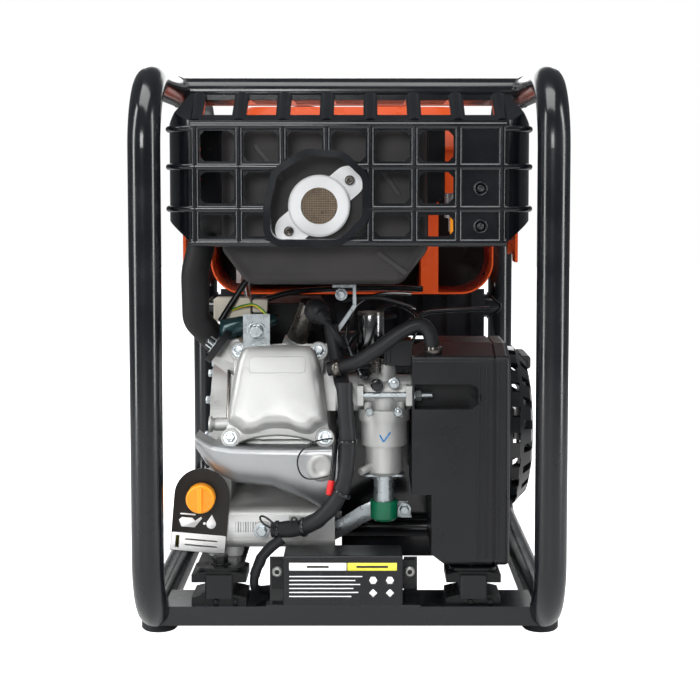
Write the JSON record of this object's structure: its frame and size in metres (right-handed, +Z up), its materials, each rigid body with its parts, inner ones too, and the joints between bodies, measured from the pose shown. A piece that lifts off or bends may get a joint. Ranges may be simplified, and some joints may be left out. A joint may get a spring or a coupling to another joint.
{
  "type": "portable generator",
  "caption": "Open-frame portable generator: tube frame, petrol engine with flywheel alternator, muffler cage, tank and rear control panel.",
  "frame": {"origin": "on the floor under the middle of the frame", "axes": "+Z up, +X along the crankshaft to the recoil starter, -Y to the muffler end, +Y to the control panel"},
  "size_m": [0.438, 0.572, 0.587],
  "materials": {
    "frame_black": "gloss",
    "black_steel": "satin",
    "rubber_black": "matte",
    "cast_aluminium": "satin",
    "sheet_silver": "satin",
    "zinc_steel": "satin",
    "steel_dark": "satin",
    "orange_plastic": "gloss",
    "orange_paint": "gloss",
    "printed_card": "matte",
    "black_plastic": "satin",
    "gloss_black_plastic": "gloss",
    "guard_black": "satin",
    "muffler_paint": "matte",
    "pipe_paint": "matte",
    "outlet_white": "satin",
    "brass_mesh": "satin",
    "green_plastic": "satin",
    "copper_core": "satin",
    "filter_foam": "matte",
    "socket_grey": "satin"
  },
  "bodies": {
    "machine": {"left_loop": "frame_black", "right_loop": "frame_black", "cross_tubes": "frame_black", "black_shrouds": "gloss_black_plastic", "base_rails": "frame_black", "rubber_feet": "rubber_black", "mount_cups": "black_steel", "mount_rubbers": "rubber_black", "engine_cradle": "black_steel", "crankcase_block": "cast_aluminium", "crankcase_cover": "cast_aluminium", "cylinder_head": "cast_aluminium", "valve_cover": "cast_aluminium", "engine_bolts": "zinc_steel", "side_shroud": "sheet_silver", "oil_tag": "printed_card", "alternator_stator": "copper_core", "alternator_housing": "gloss_black_plastic", "fan_housing": "gloss_black_plastic", "recoil_cover": "gloss_black_plastic", "spark_plug": "zinc_steel", "plug_cap": "steel_dark", "ht_lead": "rubber_black", "ignition_coil": "black_plastic", "wiring_loom": "rubber_black", "battery": "black_plastic", "carburettor": "cast_aluminium", "float_bowl": "cast_aluminium", "fuel_solenoid": "zinc_steel", "solenoid_cap": "green_plastic", "choke_motor": "steel_dark", "air_filter_case": "black_plastic", "air_filter_cover": "black_plastic", "filter_element": "filter_foam", "breather_hose": "rubber_black", "exhaust_pipe": "pipe_paint", "muffler": "muffler_paint", "muffler_outlet": "outlet_white", "spark_arrestor": "brass_mesh", "muffler_guard": "guard_black", "fuel_tank": "orange_paint", "fuel_valve": "zinc_steel", "tank_brackets": "orange_paint", "zinc_brackets": "zinc_steel", "panel_shell": "orange_paint", "panel_face": "black_plastic", "inverter_module": "cast_aluminium"},
    "crank_train": {"crankshaft": "steel_dark", "alternator_rotor": "steel_dark", "cooling_fan": "black_plastic"},
    "piston": {"piston": "cast_aluminium"},
    "oil_plug": {"oil_plug": "orange_plastic"},
    "recoil_handle": {"recoil_handle": "rubber_black"},
    "fuel_cap": {"fuel_cap": "black_plastic"},
    "fuel_valve_lever": {"fuel_valve_lever": "orange_plastic"},
    "throttle_lever": {"throttle_lever": "black_plastic"},
    "outlet_flap_left": {"outlet_flap_left": "socket_grey"},
    "outlet_flap_right": {"outlet_flap_right": "socket_grey"},
    "engine_switch": {"engine_switch": "gloss_black_plastic"},
    "breaker_button": {"breaker_button": "gloss_black_plastic"}
  },
  "joints": [
    {"name": "crank_turn", "type": "hinge", "parent": "machine", "child": "crank_train", "pos_m": [0, 0.01, 0.182], "axis": [1, 0, 0], "continuous": true},
    {"name": "piston_stroke", "type": "slide", "parent": "machine", "child": "piston", "axis": [0, 0.9455, -0.3256], "range_m": [0, 0.054]},
    {"name": "oil_plug_turn", "type": "hinge", "parent": "machine", "child": "oil_plug", "pos_m": [-0.155, -0.208, 0.14], "axis": [0, -1, 0], "range_deg": [0, 540]},
    {"name": "recoil_pull", "type": "slide", "parent": "machine", "child": "recoil_handle", "axis": [1, 0, 0], "range_m": [0, 0.6], "stiffness_N_per_m": 12},
    {"name": "fuel_cap_turn", "type": "hinge", "parent": "machine", "child": "fuel_cap", "pos_m": [0.055, 0.13, 0.57], "axis": [0, 0, 1], "range_deg": [0, 90]},
    {"name": "fuel_valve_turn", "type": "hinge", "parent": "machine", "child": "fuel_valve_lever", "pos_m": [0.12, 0.01, 0.435], "axis": [0, -1, 0], "range_deg": [0, 90]},
    {"name": "throttle_swing", "type": "hinge", "parent": "machine", "child": "throttle_lever", "pos_m": [0.015, -0.186, 0.268], "axis": [0, 0, 1], "range_deg": [-20, 20]},
    {"name": "outlet_flap_left_open", "type": "hinge", "parent": "machine", "child": "outlet_flap_left", "pos_m": [-0.01, 0.2744, 0.425], "axis": [1, 0, 0], "range_deg": [0, 110]},
    {"name": "outlet_flap_right_open", "type": "hinge", "parent": "machine", "child": "outlet_flap_right", "pos_m": [0.055, 0.2744, 0.425], "axis": [1, 0, 0], "range_deg": [0, 110]},
    {"name": "engine_switch_turn", "type": "hinge", "parent": "machine", "child": "engine_switch", "pos_m": [-0.13, 0.269, 0.392], "axis": [0, 1, 0], "range_deg": [0, 90]},
    {"name": "breaker_press", "type": "slide", "parent": "machine", "child": "breaker_button", "axis": [0, -1, 0], "range_m": [0, 0.0025], "stiffness_N_per_m": 300}
  ]
}
